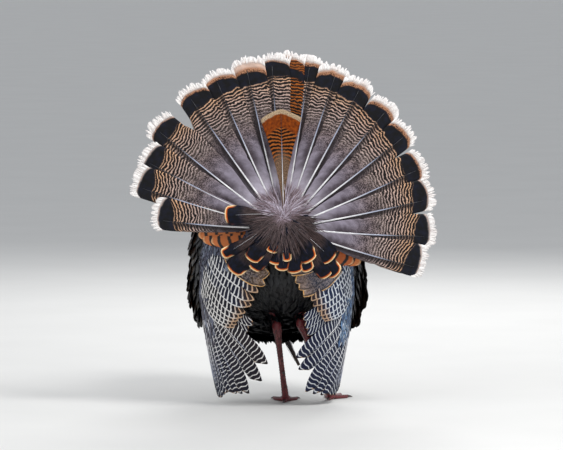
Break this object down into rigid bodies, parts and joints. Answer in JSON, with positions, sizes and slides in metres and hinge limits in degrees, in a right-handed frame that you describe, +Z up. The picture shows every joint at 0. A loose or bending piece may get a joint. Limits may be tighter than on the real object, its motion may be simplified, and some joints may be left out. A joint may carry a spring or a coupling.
{
  "type": "wild turkey",
  "caption": "Life-size wild turkey tom in full strut, tail fanned and raised, wings drooped to the floor, head drawn in over a puffed breast.",
  "frame": {"origin": "on the floor, under the middle of the bounding box", "axes": "+Z up; the bird faces -Y, so its left side is +X and the raised tail is towards +Y"},
  "size_m": [0.7568, 0.6486, 0.8884],
  "materials": {
    "bronze_feathers": "iridescent bronze-black body feathers",
    "barred_feathers": "dark flight feathers barred with white",
    "tail_feathers": "brown feathers barred with black, a black band and a pale tip",
    "chestnut_feathers": "chestnut coverts barred with black",
    "vent_feathers": "black undertail coverts rimmed with orange buff",
    "red_skin": "bare red, pebbled skin",
    "head_skin": "bare blue and white skin",
    "horn": "satin horn of the bill",
    "leg_scales": "maroon scaled skin",
    "claw": "dark horn of the claws and spurs",
    "eye": "wet dark brown eye",
    "beard": "coarse black bristles"
  },
  "bodies": {
    "root": {"beard": "beard", "bill_lower": "horn", "bill_upper": "horn", "claw_left_hind": "claw", "claw_left_inner": "claw", "claw_left_middle": "claw", "claw_left_outer": "claw", "claw_right_hind": "claw", "claw_right_inner": "claw", "claw_right_middle": "claw", "claw_right_outer": "claw", "dewlap": "red_skin", "eye_left": "eye", "eye_right": "eye", "foot_left": "leg_scales", "foot_right": "leg_scales", "head": "head_skin", "neck": "red_skin", "shank_left": "leg_scales", "shank_right": "leg_scales", "snood": "red_skin", "spur_left": "claw", "spur_right": "claw", "tail_base": "vent_feathers", "tail_coverts_under": "vent_feathers", "tail_coverts_upper": "chestnut_feathers", "tail_feather_01": "tail_feathers", "tail_feather_02": "tail_feathers", "tail_feather_03": "tail_feathers", "tail_feather_04": "tail_feathers", "tail_feather_05": "tail_feathers", "tail_feather_06": "tail_feathers", "tail_feather_07": "tail_feathers", "tail_feather_08": "tail_feathers", "tail_feather_09": "tail_feathers", "tail_feather_10": "tail_feathers", "tail_feather_11": "tail_feathers", "tail_feather_12": "tail_feathers", "tail_feather_13": "tail_feathers", "tail_feather_14": "tail_feathers", "tail_feather_15": "tail_feathers", "tail_feather_16": "tail_feathers", "tail_feather_17": "tail_feathers", "tail_feather_18": "tail_feathers", "tail_feather_short": "chestnut_feathers", "thigh_left": "bronze_feathers", "thigh_right": "bronze_feathers", "trunk": "bronze_feathers", "wing_left_coverts": "bronze_feathers", "wing_left_primaries": "barred_feathers", "wing_left_secondaries": "barred_feathers", "wing_right_coverts": "bronze_feathers", "wing_right_primaries": "barred_feathers", "wing_right_secondaries": "barred_feathers"}
  },
  "joints": []
}
